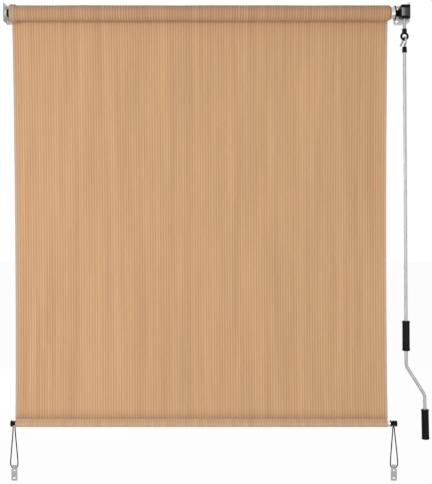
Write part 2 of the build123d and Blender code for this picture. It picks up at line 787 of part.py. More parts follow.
wheel_rim = Solid.extrude_linear_with_rotation(
    (wheel_plane * wheel_section.sketch).face(), wheel_plane.origin, (wheel_face, 0, 0), wheel_turn
)
with BuildPart() as worm_wheel:
    add(wheel_rim)
    with BuildSketch(Plane.YZ.offset(journal_end)):
        with Locations((roller_y, 0)):
            Circle(journal_radius)
    extrude(amount=side_x - end_gap - journal_end)
    with BuildSketch(Plane.YZ.offset(journal_end)):
        with Locations((roller_y, 0)):
            Rectangle(spigot_width, spigot_width)
    extrude(amount=side_x - end_gap - journal_end, mode=Mode.SUBTRACT)
write(worm_wheel, "worm_wheel")

# Eye: a round bar ring below a socket for the shaft
ring_top = -eye_drop + eye_ring_radius
with BuildPart() as crank_eye:
    with BuildSketch(Plane.XY.offset(ring_top - 1)):
        with Locations((eye_x, eye_y)):
            Circle(neck_diameter / 2)
    extrude(amount=-neck_top - ring_top + 1)
    fillet(crank_eye.edges().sort_by(Axis.Z)[-1], 1.0)
    with BuildSketch(Plane.YZ.offset(eye_x)):
        with Locations((eye_y, ring_top)):
            Circle(eye_bar_diameter / 2)
    revolve(axis=Axis((eye_x, eye_y, -eye_drop), (0, 1, 0)))
    with BuildSketch(Plane.XY.offset(-shaft_drop)):
        with Locations((eye_x, eye_y)):
            Circle(shaft_diameter / 2)
    extrude(amount=shaft_drop - neck_top, mode=Mode.SUBTRACT)
    with BuildSketch(Plane.YZ.offset(eye_x)):
        with Locations((eye_y, -eye_pin_drop)):
            Circle(shaft_pin_diameter / 2)
    extrude(amount=neck_diameter, both=True, mode=Mode.SUBTRACT)
write(crank_eye, "crank_eye")

with BuildPart() as eye_pin:
    with BuildSketch(Plane.YZ.offset(eye_x)):
        with Locations((eye_y, -eye_pin_drop)):
            Circle(shaft_pin_diameter / 2)
    extrude(amount=neck_diameter / 2 - seat_gap, both=True)
write(eye_pin, "eye_pin")

# The crank is drawn in its own leaning plane: z runs up the rod, x towards the throw
def leaning(origin, degrees):
    """A plane whose z axis leans to the left, so that what hangs down it runs to the right."""
    turn = math.radians(degrees)
    sideways = (math.cos(turn), 0, math.sin(turn))
    return Plane(origin=origin, x_dir=sideways, z_dir=(-math.sin(turn), 0, math.cos(turn)))


crank = leaning((eye_x, eye_y, pivot_z), crank_lean)
across_ring = Vector(math.sin(math.radians(hook_turn)), -math.cos(math.radians(hook_turn)), 0)
hook_crown = (eye_bar_diameter + wire_diameter) / 2 + slide_gap
shank = across_ring * hook_radius
tip = shank * -1
hook_points = [
    Vector(0, 0, -hook_shank_end),
    Vector(0, 0, -hook_jog_low),
    shank + Vector(0, 0, -hook_jog_high),
    shank + Vector(0, 0, hook_crown),
    tip + Vector(0, 0, hook_crown),
    tip + Vector(0, 0, -hook_tip_bend),
    tip + Vector(0, 0, -hook_tip_bend) + Vector(*hook_tip_reach),
]
crown_radius = hook_radius - wire_slack
with BuildPart() as crank_hook:
    with BuildLine() as hook_wire:
        FilletPolyline(
            *[crank.from_local_coords(point) for point in hook_points],
            radius=[hook_jog_radius, hook_jog_radius, crown_radius, crown_radius, hook_jog_radius],
        )
    with BuildSketch(Plane(origin=hook_wire.wire() @ 0, z_dir=hook_wire.wire() % 0)):
        Circle(wire_diameter / 2)
    sweep(path=hook_wire.wire())
    hook_end = hook_wire.wire() @ 1
    fillet(crank_hook.edges().filter_by(GeomType.CIRCLE).sort_by_distance(hook_end)[0], 1.5)
write(crank_hook, "crank_hook")

with BuildPart() as hook_ferrule:
    with BuildSketch(crank.offset(-ferrule_top)):
        Circle(ferrule_diameter / 2)
    with BuildSketch(crank.offset(-ferrule_top - ferrule_length)):
        Circle(ferrule_foot / 2)
    loft()
    fillet(hook_ferrule.edges().filter_by(GeomType.CIRCLE), 1.0)
    with BuildSketch(crank.offset(-ferrule_top)):
        Circle(wire_diameter / 2)
    extrude(amount=-ferrule_length, mode=Mode.SUBTRACT)
    with BuildSketch(crank.offset(-rod_top)):
        Circle(rod_diameter / 2)
    extrude(amount=-ferrule_length, mode=Mode.SUBTRACT)
write(hook_ferrule, "hook_ferrule")

# Rod: straight, a throw to the right, and a short arm for the lower grip
flare = math.radians(lower_arm_flare)
arm_direction = Vector(math.sin(flare), 0, -math.cos(flare))
arm_length = lower_grip_arm + grip_length - grip_floor - end_gap
arm_start = Vector(crank_throw, 0, -rod_bend_lower)
rod_points = [
    Vector(0, 0, -rod_top),
    Vector(0, 0, -rod_bend_upper),
    arm_start,
    arm_start + arm_direction * arm_length,
]
upper_bead = upper_grip_top + grip_length / 2
lower_bead = lower_grip_arm + grip_length / 2
arm = leaning(crank.from_local_coords(arm_start), crank_lean + lower_arm_flare)


def bead(depth):
    """Points of a crimped bead's half outline, beside the rod's axis, at a depth down the rod."""
    return [
        (0, -depth - bead_length / 2),
        (rod_diameter / 2, -depth - bead_length / 2),
        (bead_diameter / 2, -depth),
        (rod_diameter / 2, -depth + bead_length / 2),
        (0, -depth + bead_length / 2),
    ]


with BuildPart() as crank_rod:
    with BuildLine() as rod_line:
        FilletPolyline(*[crank.from_local_coords(point) for point in rod_points], radius=rod_bend_radius)
    with BuildSketch(Plane(origin=rod_line.wire() @ 0, z_dir=rod_line.wire() % 0)):
        Circle(rod_diameter / 2)
    sweep(path=rod_line.wire())
    for place, depth in ((crank, upper_bead), (arm, lower_bead)):
        with BuildSketch(Plane(origin=place.origin, x_dir=place.x_dir, z_dir=-place.y_dir)):
            with BuildLine():
                Polyline(*bead(depth), close=True)
            make_face()
        revolve(axis=Axis(place.origin, place.z_dir))
    with BuildSketch(Plane(origin=rod_line.wire() @ 0, z_dir=rod_line.wire() % 0)):
        Circle(rod_diameter / 2 - rod_wall)
    sweep(path=rod_line.wire(), mode=Mode.SUBTRACT)
write(crank_rod, "crank_rod")


def grip(place, top, floor):
    """A sleeve with collars at both ends, from a depth down its rod; floor closes its lower end."""
    radius = grip_diameter / 2
    collar = radius + grip_collar
    bore = rod_diameter / 2 + slide_gap
    bead_room = bead_diameter / 2 + slide_gap
    middle = top + grip_length / 2
    bottom = top + grip_length
    with BuildPart() as sleeve:
        with BuildSketch(Plane(origin=place.origin, x_dir=place.x_dir, z_dir=-place.y_dir)):
            with BuildLine():
                Polyline(
                    (0, -top),
                    (collar, -top),
                    (collar, -top - grip_collar_length),
                    (radius, -top - grip_collar_length - grip_collar),
                    (radius, -bottom + grip_collar_length + grip_collar),
                    (collar, -bottom + grip_collar_length),
                    (collar, -bottom),
                    (0, -bottom),
                    close=True,
                )
            make_face()
        revolve(axis=Axis(place.origin, place.z_dir))
        fillet(sleeve.edges().filter_by(GeomType.CIRCLE).sort_by(Axis.Z)[-1], 2.0)
        fillet(sleeve.edges().filter_by(GeomType.CIRCLE).sort_by(Axis.Z)[0], 2.0)
        with BuildSketch(place.offset(-top)):
            Circle(bore)
        extrude(amount=floor - grip_length, mode=Mode.SUBTRACT)
        with BuildSketch(Plane(origin=place.origin, x_dir=place.x_dir, z_dir=-place.y_dir)):
            with BuildLine():
                Polyline(
                    (0, -middle - bead_length / 2 - slide_gap),
                    (bore, -middle - bead_length / 2 - slide_gap),
                    (bead_room, -middle - slide_gap),
                    (bead_room, -middle + slide_gap),
                    (bore, -middle + bead_length / 2 + slide_gap),
                    (0, -middle + bead_length / 2 + slide_gap),
                    close=True,
                )
            make_face()
        revolve(axis=Axis(place.origin, place.z_dir), mode=Mode.SUBTRACT)
    return sleeve.part


with BuildPart() as upper_grip:
    add(grip(crank, upper_grip_top, 0))
write(upper_grip, "upper_grip")

with BuildPart() as lower_grip:
    add(grip(arm, lower_grip_arm, grip_floor))
write(lower_grip, "lower_grip")
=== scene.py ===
"""Outdoor roller shade: cloth, cords, materials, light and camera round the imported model. In metres."""

import json
import math

import bpy
import numpy as np
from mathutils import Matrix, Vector


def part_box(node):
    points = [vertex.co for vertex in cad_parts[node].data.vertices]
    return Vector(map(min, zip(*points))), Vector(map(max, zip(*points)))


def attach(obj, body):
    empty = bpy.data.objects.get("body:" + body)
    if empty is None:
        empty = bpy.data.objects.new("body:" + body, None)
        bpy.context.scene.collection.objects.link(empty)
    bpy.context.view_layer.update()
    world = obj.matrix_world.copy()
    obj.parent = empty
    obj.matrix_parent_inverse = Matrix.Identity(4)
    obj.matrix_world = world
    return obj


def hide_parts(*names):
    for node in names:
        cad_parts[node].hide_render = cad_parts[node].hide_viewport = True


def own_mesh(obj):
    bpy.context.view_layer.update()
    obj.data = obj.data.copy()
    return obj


MM = 0.001

# The photograph's frame and its camera
PHOTO_WIDTH = 432
PHOTO_HEIGHT = 484
OPTICAL_CENTRE = (200, 196)  # pixel that the camera looks at squarely
PIXEL_OF_ORIGIN = (206.26, 14.7)  # where the wall holes' middle would show on the cloth's plane
MM_PER_PIXEL = 3.194  # at the cloth
CAMERA_DISTANCE = 2.95  # from the cloth
SENSOR = 36.0

# Sizes of the cloth
RIBS = 140
RIB_HEIGHT = 0.4 * MM
SHEET_THICKNESS = 0.7 * MM
SIDE_PULL = 11.4 * MM  # how far the left edge runs in towards the hem
EDGE_BOW = 4.0 * MM
EDGE_STRIP = 8.5 * MM  # width of the folded side hems
STRIP_RISE = 0.6  # share of the ribs' height at which their plain surface lies
BACK_RIBS = 0.4  # share of the ribs' height that shows on the back
BAND_HEIGHT = 40 * MM  # of the doubled cloth above the hem
BAND_THICKNESS = 0.55 * MM  # of its second layer
WAVE_DEPTH = 0.9 * MM
TOP_TAPER = 12 * MM  # height over which the cloth gets thinner where it leaves the roll
TOP_THICKNESS = 0.35  # share of the thickness that is left there
SHEET_ROWS = 44
SAMPLES_PER_RIB = 6
BACK_STRIDE = 3  # samples of the front for each one of the back

# Sizes of the roll
LAYER = 0.9 * MM  # one turn of cloth
ROLL_EDGE_RISE = 2.8 * MM  # how much thicker the roll is where the side hem piles up
ROLL_EDGE_WIDTH = 18.5 * MM
ROLL_EDGE_SLOPE = 1.4 * MM
ROLL_EDGE_ROOM = 4 * MM  # how much wider the hanging cloth keeps clear of it
ROLL_STEPS = 9 * MM  # length of the stepped right end
ROLL_CLEARANCE = 0.1 * MM
TURN_GROOVE = 0.5 * MM  # depth of the grooves between the turns in the left end's face
TURN_EDGE = ((TURN_GROOVE, 0.0), (0.0, 0.35), (0.0, 0.65))  # depths with shares of a layer
STEP_EDGE = ((0.2, 0.0), (0.9, 0.1), (1.0, 0.5), (0.95, 1.0))  # shares of a step's length and of a layer
STEP_SPIRAL = 0.012  # share of the radius that a stepped turn loses in one round
ROLL_AROUND = 84
COLUMNS_PER_RIB = 5  # also along the pocket

# Sizes of the hem's pocket and its seam
POCKET_RADIUS = 11.1 * MM
POCKET_WALL = 0.8 * MM
POCKET_AROUND = 40
SEAM_RISE = 14.5 * MM  # from the bar's axis up to the seam
SEAM_HALF = 1.3 * MM  # half the pocket's thickness at the seam
INNER_RISE = 0.8  # share of the rise to the seam that the pocket's inside makes
STITCH_PITCH = 4.2 * MM
STITCH_SHARE = 0.8  # of the pitch that the stitch covers
STITCH_INSET = 2 * MM  # from the pocket's ends
STITCH_DROP = 1 * MM  # below the seam
STITCH_ARCH = ((-0.5, -0.6), (-0.42, 0.2), (-0.2, 0.75), (0.2, 0.75), (0.42, 0.2), (0.5, -0.6))
STITCH_CORNERS = 6
THREAD = 0.7 * MM

# Sizes of the elastic loops
CORD_DIAMETER = 3.6 * MM
NECK_SPREAD = {"left": 0.7, "right": 3.5}  # mm to each side, where the two strands leave the cap


def loop_route(spread):
    """The band's points as offsets in mm from the middle of the cap's groove, from top to top."""
    return [
        (-2.1, 1.0, 8.1),
        (-2.2, -8.4, 8.1),
        (-spread, -7.6, -14.0),
        (-10.0, -3.6, -111.0),
        (-10.8, -3.3, -133.0),
        (-4.2, 3.6, -143.0),
        (6.6, 3.6, -143.0),
        (13.2, -3.3, -133.0),
        (12.4, -2.6, -111.0),
        (spread, 7.0, -14.0),
        (2.2, 8.8, 8.1),
        (2.1, -1.0, 8.1),
    ]


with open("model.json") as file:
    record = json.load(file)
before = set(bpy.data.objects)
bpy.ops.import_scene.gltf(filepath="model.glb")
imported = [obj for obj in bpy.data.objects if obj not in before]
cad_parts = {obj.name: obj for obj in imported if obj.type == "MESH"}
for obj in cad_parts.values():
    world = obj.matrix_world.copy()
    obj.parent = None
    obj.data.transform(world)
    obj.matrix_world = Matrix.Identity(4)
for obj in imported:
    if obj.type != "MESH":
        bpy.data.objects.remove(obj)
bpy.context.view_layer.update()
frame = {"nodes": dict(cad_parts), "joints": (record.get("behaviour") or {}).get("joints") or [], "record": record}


# Small tools for meshes

def mesh_piece(name, points, faces, materials, face_slots=None, uvs=None):
    """A smooth mesh; each face may have a material number and each point a pair of UV values."""
    mesh = bpy.data.meshes.new(name)
    mesh.from_pydata([tuple(p) for p in points], [], [tuple(f) for f in faces])
    mesh.polygons.foreach_set("use_smooth", [True] * len(mesh.polygons))
    for material in materials:
        mesh.materials.append(material)
    if face_slots is not None:
        mesh.polygons.foreach_set("material_index", face_slots)
    if uvs is not None:
        layer = mesh.uv_layers.new(name="cloth")
        corners = np.zeros(len(mesh.loops), int)
        mesh.loops.foreach_get("vertex_index", corners)
        layer.data.foreach_set("uv", np.asarray(uvs, float)[corners].ravel())
    mesh.update()
    piece = bpy.data.objects.new(name, mesh)
    bpy.context.scene.collection.objects.link(piece)
    return piece


def tube_faces(rings, around, flip=False):
    """Quads between successive closed rings of points."""
    faces = []
    for ring in range(rings - 1):
        for k in range(around):
            a = ring * around + k
            b = ring * around + (k + 1) % around
            quad = (a, b, b + around, a + around)
            faces.append(quad[::-1] if flip else quad)
    return faces


# Small tools for materials

def srgb(red, green, blue):
    """A colour from 0-255 values as shown on screen to the linear values that shaders take."""
    def linear(value):
        value /= 255
        return value / 12.92 if value <= 0.04045 else ((value + 0.055) / 1.055) ** 2.4
    return (linear(red), linear(green), linear(blue), 1.0)


def scaled(colour, factor, lift=0.0):
    """A colour made lighter or darker, with its alpha kept at 1."""
    return tuple(min(1.0, channel * factor + lift) for channel in colour[:3]) + (1,)


def cool(grey, tint=1.01):
    """A grey with slightly more blue."""
    return (grey, grey, grey * tint, 1)


class Shader:
    """A material with short ways to add and join its nodes."""

    def __init__(self, name, roughness=0.5, metallic=0.0, specular=0.5):
        self.material = bpy.data.materials.new(name)
        self.material.use_nodes = True
        self.tree = self.material.node_tree
        self.surface = self.tree.nodes["Principled BSDF"]
        self.surface.inputs["Roughness"].default_value = roughness
        self.surface.inputs["Metallic"].default_value = metallic
        self.surface.inputs["Specular IOR Level"].default_value = specular

    def node(self, kind, **values):
        made = self.tree.nodes.new(kind)
        for key, value in values.items():
            setattr(made, key, value)
        return made

    def link(self, source, target):
        self.tree.links.new(source, target)

    def feed(self, socket, value):
        """Set a socket to a number, or link another node's output to it."""
        if isinstance(value, (int, float)):
            socket.default_value = value
        else:
            self.link(value, socket)

    def math(self, operation, *values):
        made = self.node("ShaderNodeMath", operation=operation)
        for socket, value in zip(made.inputs, values):
            self.feed(socket, value)
        return made.outputs[0]

    def split(self, vector):
        """The first and the second value of a vector."""
        made = self.node("ShaderNodeSeparateXYZ")
        self.link(vector, made.inputs[0])
        return made.outputs[0], made.outputs[1]

    def place(self, scale=(1, 1, 1), kind="Object"):
        """Coordinates of a point, stretched by a scale for each axis."""
        return self.stretch(self.node("ShaderNodeTexCoord").outputs[kind], scale)

    def stretch(self, vector, scale=(1, 1, 1), turn=(0, 0, 0)):
        mapping = self.node("ShaderNodeMapping")
        mapping.inputs["Scale"].default_value = scale
        mapping.inputs["Rotation"].default_value = turn
        self.link(vector, mapping.inputs["Vector"])
        return mapping.outputs[0]

    def noise(self, scale, vector=None, detail=3.0, roughness=0.5):
        made = self.node("ShaderNodeTexNoise")
        made.inputs["Scale"].default_value = scale
        made.inputs["Detail"].default_value = detail
        made.inputs["Roughness"].default_value = roughness
        self.link(self.place() if vector is None else vector, made.inputs["Vector"])
        return made.outputs["Fac"]

    def ramp(self, factor, *stops):
        """Colours or greys along a factor, from pairs of a position and a colour or a grey."""
        made = self.node("ShaderNodeValToRGB")
        for point, (position, colour) in zip(made.color_ramp.elements, stops):
            point.position = position
            point.color = colour if isinstance(colour, tuple) else (colour, colour, colour, 1)
        self.link(factor, made.inputs["Fac"])
        return made.outputs["Color"]

    def mix(self, factor, first, second, blend="MIX"):
        made = self.node("ShaderNodeMix", data_type="RGBA", blend_type=blend)
        colour_sockets = [socket for socket in made.inputs if socket.enabled]
        for socket, value in zip(colour_sockets, (factor, first, second)):
            self.feed(socket, value)
        return next(socket for socket in made.outputs if socket.enabled)

    def bump(self, height, strength, distance, before=None):
        made = self.node("ShaderNodeBump")
        made.inputs["Strength"].default_value = strength
        made.inputs["Distance"].default_value = distance
        self.link(height, made.inputs["Height"])
        if before is not None:
            self.link(before, made.inputs["Normal"])
        return made.outputs["Normal"]

    def finish(self, colour=None, roughness=None, normal=None):
        for name, value in (("Base Color", colour), ("Roughness", roughness), ("Normal", normal)):
            if value is not None:
                self.link(value, self.surface.inputs[name])
        return self.material


# Materials

def cloth_material(name, crest, valley, streak=0.7):
    """Knitted shade cloth: ribs along its length, a fine knit across them and faint long streaks."""
    knit_rows = 5  # for each rib's width along the cloth
    threads_per_rib = 6
    weight_scale = (0.9, 0.02, 1)  # about a rib across, and long
    streak_scale = (0.33, 0.012, 1)  # about three ribs across, and longer
    cloth = Shader(name, roughness=0.85, specular=0.25)
    cloth.surface.inputs["Sheen Weight"].default_value = 0.12
    cloth.surface.inputs["Sheen Roughness"].default_value = 0.5
    # the first UV value runs across from 0 to the number of ribs, the second along the cloth in ribs too
    weave = cloth.node("ShaderNodeUVMap", uv_map="cloth").outputs[0]
    across, along = cloth.split(weave)
    rib = cloth.math("COSINE", cloth.math("MULTIPLY", across, 2 * math.pi))
    rib = cloth.math("MULTIPLY_ADD", rib, -0.5, 0.5)
    uneven = cloth.noise(1.0, cloth.stretch(weave, weight_scale), detail=2.0)
    weight = cloth.math("MULTIPLY", rib, cloth.math("MULTIPLY_ADD", uneven, 1.2, 0.4))
    tone = cloth.ramp(weight, (0.0, valley), (0.85, crest))
    streaks = cloth.noise(1.0, cloth.stretch(weave, streak_scale), roughness=0.6)
    shading = cloth.ramp(streaks, (0.33, 0.87), (0.67, 1.11))
    tone = cloth.mix(streak, tone, cloth.mix(1.0, tone, shading, "MULTIPLY"))
    rows = cloth.math("SINE", cloth.math("MULTIPLY", along, 2 * math.pi * knit_rows))
    threads = cloth.math("SINE", cloth.math("MULTIPLY", across, 2 * math.pi * threads_per_rib))
    knit = cloth.math("MULTIPLY_ADD", cloth.math("MULTIPLY", rows, threads), 0.5, 0.5)
    pores = cloth.ramp(knit, (0.0, (0.86, 0.85, 0.84, 1)), (0.5, 1))
    tone = cloth.mix(1.0, tone, pores, "MULTIPLY")
    normal = cloth.bump(knit, 0.35, 0.4 * MM)
    normal = cloth.bump(rib, 0.4, 0.5 * MM, normal)
    return cloth.finish(tone, None, normal)


def galvanised(name, bright, roughness, metallic):
    """Zinc-plated sheet: faint crystals and a soft, uneven shine."""
    brightest = 0.95
    crystal_share = 0.4
    cloud_share = 0.6
    metal = Shader(name, roughness=roughness, metallic=metallic)
    crystals = metal.node("ShaderNodeTexVoronoi", feature="F1")
    crystals.inputs["Scale"].default_value = 260
    metal.link(metal.place(), crystals.inputs["Vector"])
    shade = metal.node("ShaderNodeSeparateColor")
    metal.link(crystals.outputs["Color"], shade.inputs[0])
    cloudy = metal.noise(60)
    mixed = metal.math(
        "ADD",
        metal.math("MULTIPLY", shade.outputs[0], crystal_share),
        metal.math("MULTIPLY", cloudy, cloud_share),
    )
    low = bright * 0.88
    high = min(bright * 1.1, brightest)
    colour = metal.ramp(mixed, (0.2, cool(low)), (0.8, cool(high)))
    rough = metal.ramp(mixed, (0.2, roughness * 0.8), (0.8, roughness * 1.25))
    return metal.finish(colour, rough, metal.bump(cloudy, 0.05, 0.3 * MM))


def satin_plate_painted_light(name, left, right):
    """A satin metal plate with painted light: its colour fades from light at its left side to dark at its right,
    where the light falls unevenly.
    """
    plate = Shader(name, roughness=0.4, metallic=0.5, specular=0.3)
    across, _ = plate.split(plate.place(kind="Generated"))
    cloudy = plate.noise(90)
    shift = plate.math("MULTIPLY_ADD", cloudy, 0.2, -0.1)
    # painted light: the colour runs from light at the plate's left to dark at its right
    colour = plate.ramp(plate.math("ADD", across, shift), (0.1, left), (0.55, right))
    return plate.finish(colour, None, plate.bump(cloudy, 0.05, 0.3 * MM))


def drawn_steel(name, grey, roughness=0.3):
    """Drawn or turned steel with fine lines across its length."""
    steel = Shader(name, roughness=roughness, metallic=1.0)
    lines = steel.noise(900, steel.place((1, 1, 0.05)), detail=2.0)
    cloudy = steel.noise(35)
    dark = (grey * 0.85, grey * 0.85, grey * 0.86, 1)
    colour = steel.ramp(lines, (0.3, dark), (0.7, cool(grey, 1.02)))
    rough = steel.ramp(cloudy, (0.3, roughness * 0.8), (0.7, roughness * 1.3))
    return steel.finish(colour, rough, steel.bump(lines, 0.04, 0.2 * MM))


def moulded(name, colour, roughness=0.42, specular=0.5):
    """Moulded plastic: nearly even, with a faint grain and uneven gloss."""
    plastic = Shader(name, roughness=roughness, specular=specular)
    grain = plastic.noise(900, detail=2.0)
    cloudy = plastic.noise(30)
    tone = plastic.ramp(cloudy, (0.3, colour), (0.75, scaled(colour, 1.35, 0.002)))
    rough = plastic.ramp(cloudy, (0.3, roughness * 0.9), (0.7, roughness * 1.15))
    return plastic.finish(tone, rough, plastic.bump(grain, 0.08, 0.15 * MM))


def coated_rod(name):
    """Light grey coating on the rod: satin, with faint scuffs along it."""
    coat = Shader(name, roughness=0.36, metallic=0.35, specular=0.35)
    scuffs = coat.noise(300, coat.place((1, 1, 0.08)), detail=2.0)
    colour = coat.ramp(scuffs, (0.25, srgb(166, 168, 169)), (0.7, srgb(192, 193, 194)))
    rough = coat.ramp(scuffs, (0.3, 0.26), (0.7, 0.42))
    return coat.finish(colour, rough, coat.bump(scuffs, 0.03, 0.2 * MM))


def braided(name):
    """Elastic cord with a braided sheath: two sets of bands that cross."""
    slant = 0.6
    braid = Shader(name, roughness=0.75, specular=0.15)
    waves = []
    for turn in (slant, -slant):
        wave = braid.node("ShaderNodeTexWave", wave_type="BANDS", bands_direction="Z")
        wave.inputs["Scale"].default_value = 420
        source = braid.node("ShaderNodeTexCoord").outputs["Object"]
        braid.link(braid.stretch(source, turn=(turn, turn, 0)), wave.inputs["Vector"])
        waves.append(wave.outputs["Fac"])
    woven = braid.math("MULTIPLY", waves[0], waves[1])
    colour = braid.ramp(woven, (0.0, srgb(9, 9, 10)), (0.7, srgb(28, 28, 30)))
    return braid.finish(colour, None, braid.bump(woven, 0.4, 0.3 * MM))


def thread_material(name, colour):
    """Sewing thread, or the cut edge of the cloth."""
    thread = Shader(name, roughness=0.8, specular=0.3)
    twist = thread.noise(1500, detail=2.0)
    tone = thread.ramp(twist, (0.3, scaled(colour, 0.75)), (0.7, colour))
    return thread.finish(tone, None, thread.bump(twist, 0.3, 0.2 * MM))


CLOTH = cloth_material("cloth", srgb(213, 171, 131), srgb(194, 150, 109))
CLOTH_DOUBLE = cloth_material("cloth_double", srgb(211, 169, 130), srgb(192, 148, 109))
CLOTH_HEM = cloth_material("cloth_hem", srgb(211, 175, 142), srgb(196, 158, 125))
# painted shade: the cloth on the roll, plain and at its thick left end, is coloured darker than the hanging cloth,
# for the shade on the rounded roll
ROLL_CLOTH_PAINTED_SHADE = cloth_material("roll_cloth_painted_shade", srgb(201, 160, 125), srgb(173, 132, 98))
ROLL_EDGE_CLOTH_PAINTED_SHADE = cloth_material("roll_edge_cloth_painted_shade", srgb(198, 165, 139), srgb(177, 145, 119), 0.3)
CLOTH_EDGE = cloth_material("cloth_edge", srgb(206, 184, 162), srgb(188, 164, 142), 0.3)
CLOTH_LEFT_EDGE = cloth_material("cloth_left_edge", srgb(208, 175, 146), srgb(188, 157, 130), 0.3)
CLOTH_CUT = thread_material("cloth_cut", srgb(170, 138, 110))
SEWING = thread_material("sewing_thread", srgb(194, 155, 119))
ZINC = galvanised("galvanised_sheet", bright=0.9, roughness=0.42, metallic=0.25)
SOFT_ZINC = galvanised("soft_zinc", bright=0.66, roughness=0.3, metallic=0.6)
DULL_ZINC = galvanised("dull_zinc", bright=0.44, roughness=0.34, metallic=0.55)
ELASTIC = braided("elastic_braid")
SLOT_DRESS = {
    "zinc_plated": ZINC,
    "steel": drawn_steel("drawn_steel", grey=0.4),
    "black_plastic": moulded("black_plastic", srgb(13, 13, 14), specular=0.1),
    "grip_plastic": moulded("grip_plastic", srgb(8, 8, 9), roughness=0.32, specular=0.12),
    # the front plate's colour carries painted light, light at its left side and dark at its right
    "front_plate": satin_plate_painted_light("front_plate", srgb(146, 149, 146), srgb(64, 67, 66)),
    "cloth": CLOTH,
    "elastic": ELASTIC,
    "white_plastic": moulded("white_plastic", srgb(225, 224, 218)),
    "rod_coating": coated_rod("rod_coating"),
    "aluminium": drawn_steel("aluminium", grey=0.8, roughness=0.35),
    "gear_brass": drawn_steel("gear_brass", grey=0.6),
}
NODE_DRESS = {
    "roller_tube": SOFT_ZINC,
    "left_tie_clip": DULL_ZINC,
    "right_tie_clip": DULL_ZINC,
}


def dress_nodes():
    """Every CAD node gets the material of its slot; the tube's and the clips' zinc is duller."""
    for part in frame["record"]["subparts"]:
        material = NODE_DRESS.get(part["node"], SLOT_DRESS[part["material_slot"]])
        for material_slot in frame["nodes"][part["node"]].material_slots:
            material_slot.material = material


# Places taken from the frame

sheet_low, sheet_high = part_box("fabric_sheet")
roll_low, roll_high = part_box("fabric_roll")
tube_low, tube_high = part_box("roller_tube")
sleeve_low, sleeve_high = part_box("hem_sleeve")
bar_low, bar_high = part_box("hem_bar")
fabric_left, fabric_right = sheet_low.x, sheet_high.x
fabric_width = fabric_right - fabric_left
rib_pitch = fabric_width / RIBS
roller_y = (tube_low.y + tube_high.y) / 2
tube_radius = (tube_high.y - tube_low.y) / 2
roll_radius = (roll_high.z - roll_low.z) / 2
hem_y = (bar_low.y + bar_high.y) / 2
hem_z = (bar_low.z + bar_high.z) / 2
sheet_bottom = sheet_low.z
hem_travel = next(joint for joint in frame["joints"] if joint["name"] == "hem_lift")["range_m"][1]


def edge_x(down, side):
    """The cloth's side edge at a share of the way down; side is -1 for left and 1 for right."""
    bow = EDGE_BOW * 4 * down * (1 - down)
    return fabric_left + SIDE_PULL * down + bow if side < 0 else fabric_right - bow


def rib_rise(across):
    """Height of the ribs at a place across the cloth, counted in ribs."""
    return RIB_HEIGHT * (0.5 - 0.5 * np.cos(2 * np.pi * across))


def end_pile(x, width):
    """Share of the thick left end at a place along the roll: 1 in it and 0 beyond its width."""
    return 0.5 - 0.5 * np.tanh((x - fabric_left - width) / ROLL_EDGE_SLOPE)


# Cloth

def sheet_wave(x, down):
    """How far back the cloth's two slight waves reach, 57 and 23 cm long, calm near roll and hem."""
    calm = min(1.0, down * 9) * min(1.0, (1 - down) * 7)
    return WAVE_DEPTH * calm * (1.6 + np.sin(x * 11 + 2 * down) + 0.6 * np.sin(x * 27 - 3.1 * down + 1))


def room_for_pile(x, z):
    """How far back the cloth's left end stands at a height, to stay behind the roll's thick end."""
    reach = math.sqrt(max(0.0, (roll_radius + ROLL_EDGE_RISE) ** 2 - z ** 2)) - roll_radius
    return max(0.0, reach) * end_pile(x, ROLL_EDGE_WIDTH + ROLL_EDGE_ROOM)


